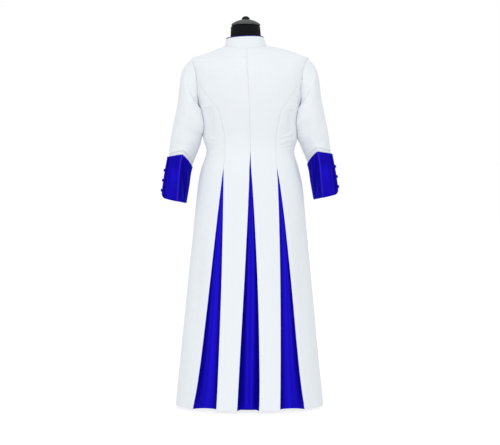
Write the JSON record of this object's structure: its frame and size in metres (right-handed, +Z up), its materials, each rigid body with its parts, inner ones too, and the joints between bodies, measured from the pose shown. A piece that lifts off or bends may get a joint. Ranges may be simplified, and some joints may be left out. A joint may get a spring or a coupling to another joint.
{
  "type": "cassock on a dress form",
  "caption": "Floor-length white clergy cassock with blue pleat inserts and lapped blue cuffs, filled out on a limbless dress form.",
  "frame": {"origin": "centre of the stand's flat underside, on the floor", "axes": "+Z up, the wearer's back faces -Y and their front +Y, their left side is at -X"},
  "size_m": [0.715, 0.4768, 1.553],
  "materials": {
    "white_cloth": "matt twill",
    "blue_satin": "soft satin",
    "black_jersey": "matt knit",
    "black_plastic": "satin",
    "black_steel": "satin enamel"
  },
  "bodies": {
    "root": {"back_left": "white_cloth", "back_right": "white_cloth", "side_back_left": "white_cloth", "side_back_right": "white_cloth", "front_left": "white_cloth", "front_right": "white_cloth", "sleeve_left": "white_cloth", "sleeve_right": "white_cloth", "collar_stand": "white_cloth", "collar_piping": "blue_satin", "insert_left": "blue_satin", "insert_centre": "blue_satin", "insert_right": "blue_satin", "cuff_left": "blue_satin", "cuff_right": "blue_satin", "cuff_button_left_1": "blue_satin", "cuff_button_left_2": "blue_satin", "cuff_button_left_3": "blue_satin", "cuff_button_right_1": "blue_satin", "cuff_button_right_2": "blue_satin", "cuff_button_right_3": "blue_satin", "front_button_01": "blue_satin", "front_button_02": "blue_satin", "front_button_03": "blue_satin", "front_button_04": "blue_satin", "front_button_05": "blue_satin", "front_button_06": "blue_satin", "front_button_07": "blue_satin", "front_button_08": "blue_satin", "front_button_09": "blue_satin", "front_button_10": "blue_satin", "front_button_11": "blue_satin", "front_button_12": "blue_satin", "front_button_13": "blue_satin", "form_torso": "black_jersey", "form_cap": "black_plastic", "form_knob": "black_plastic", "stand_pole": "black_steel", "stand_base": "black_steel"}
  },
  "joints": []
}
